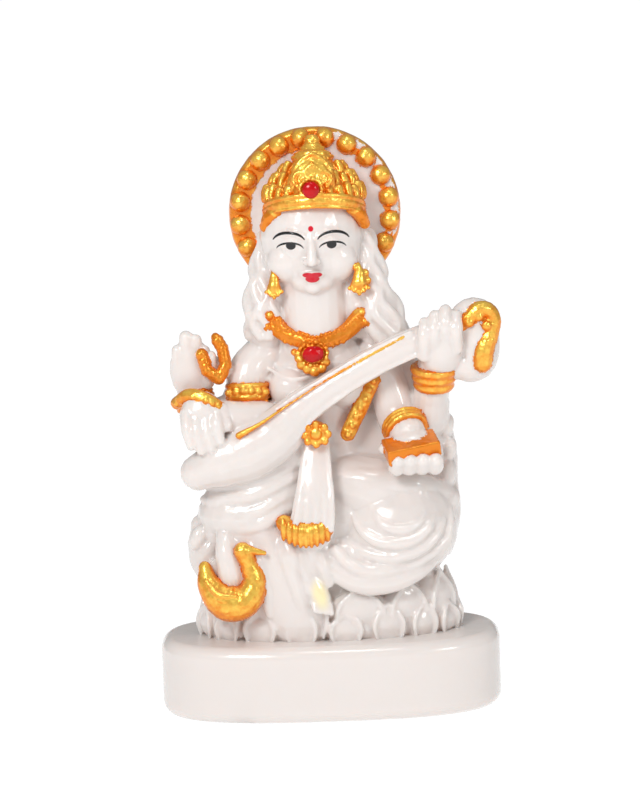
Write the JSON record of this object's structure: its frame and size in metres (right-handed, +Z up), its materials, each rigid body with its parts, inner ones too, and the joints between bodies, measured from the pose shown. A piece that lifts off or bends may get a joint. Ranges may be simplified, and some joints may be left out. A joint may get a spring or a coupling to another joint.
{
  "type": "saraswati figure",
  "caption": "Cast resin devotional figure: a seated goddess with veena, book, prayer beads and swan, on a lotus and a rounded plinth, with glass stones in crown and necklace.",
  "frame": {"origin": "centre of the plinth's flat underside", "axes": "+Z up, +X to the viewer's right as the viewer faces the figure, +Y to the figure's back"},
  "size_m": [0.0746, 0.038, 0.125],
  "materials": {
    "resin": "glossy white marble-dust resin, hand painted with gold, black and red",
    "red_glass": "glossy red glass"
  },
  "bodies": {
    "root": {"figure_casting": "resin", "crown_stone": "red_glass", "pendant_stone": "red_glass"}
  },
  "joints": []
}
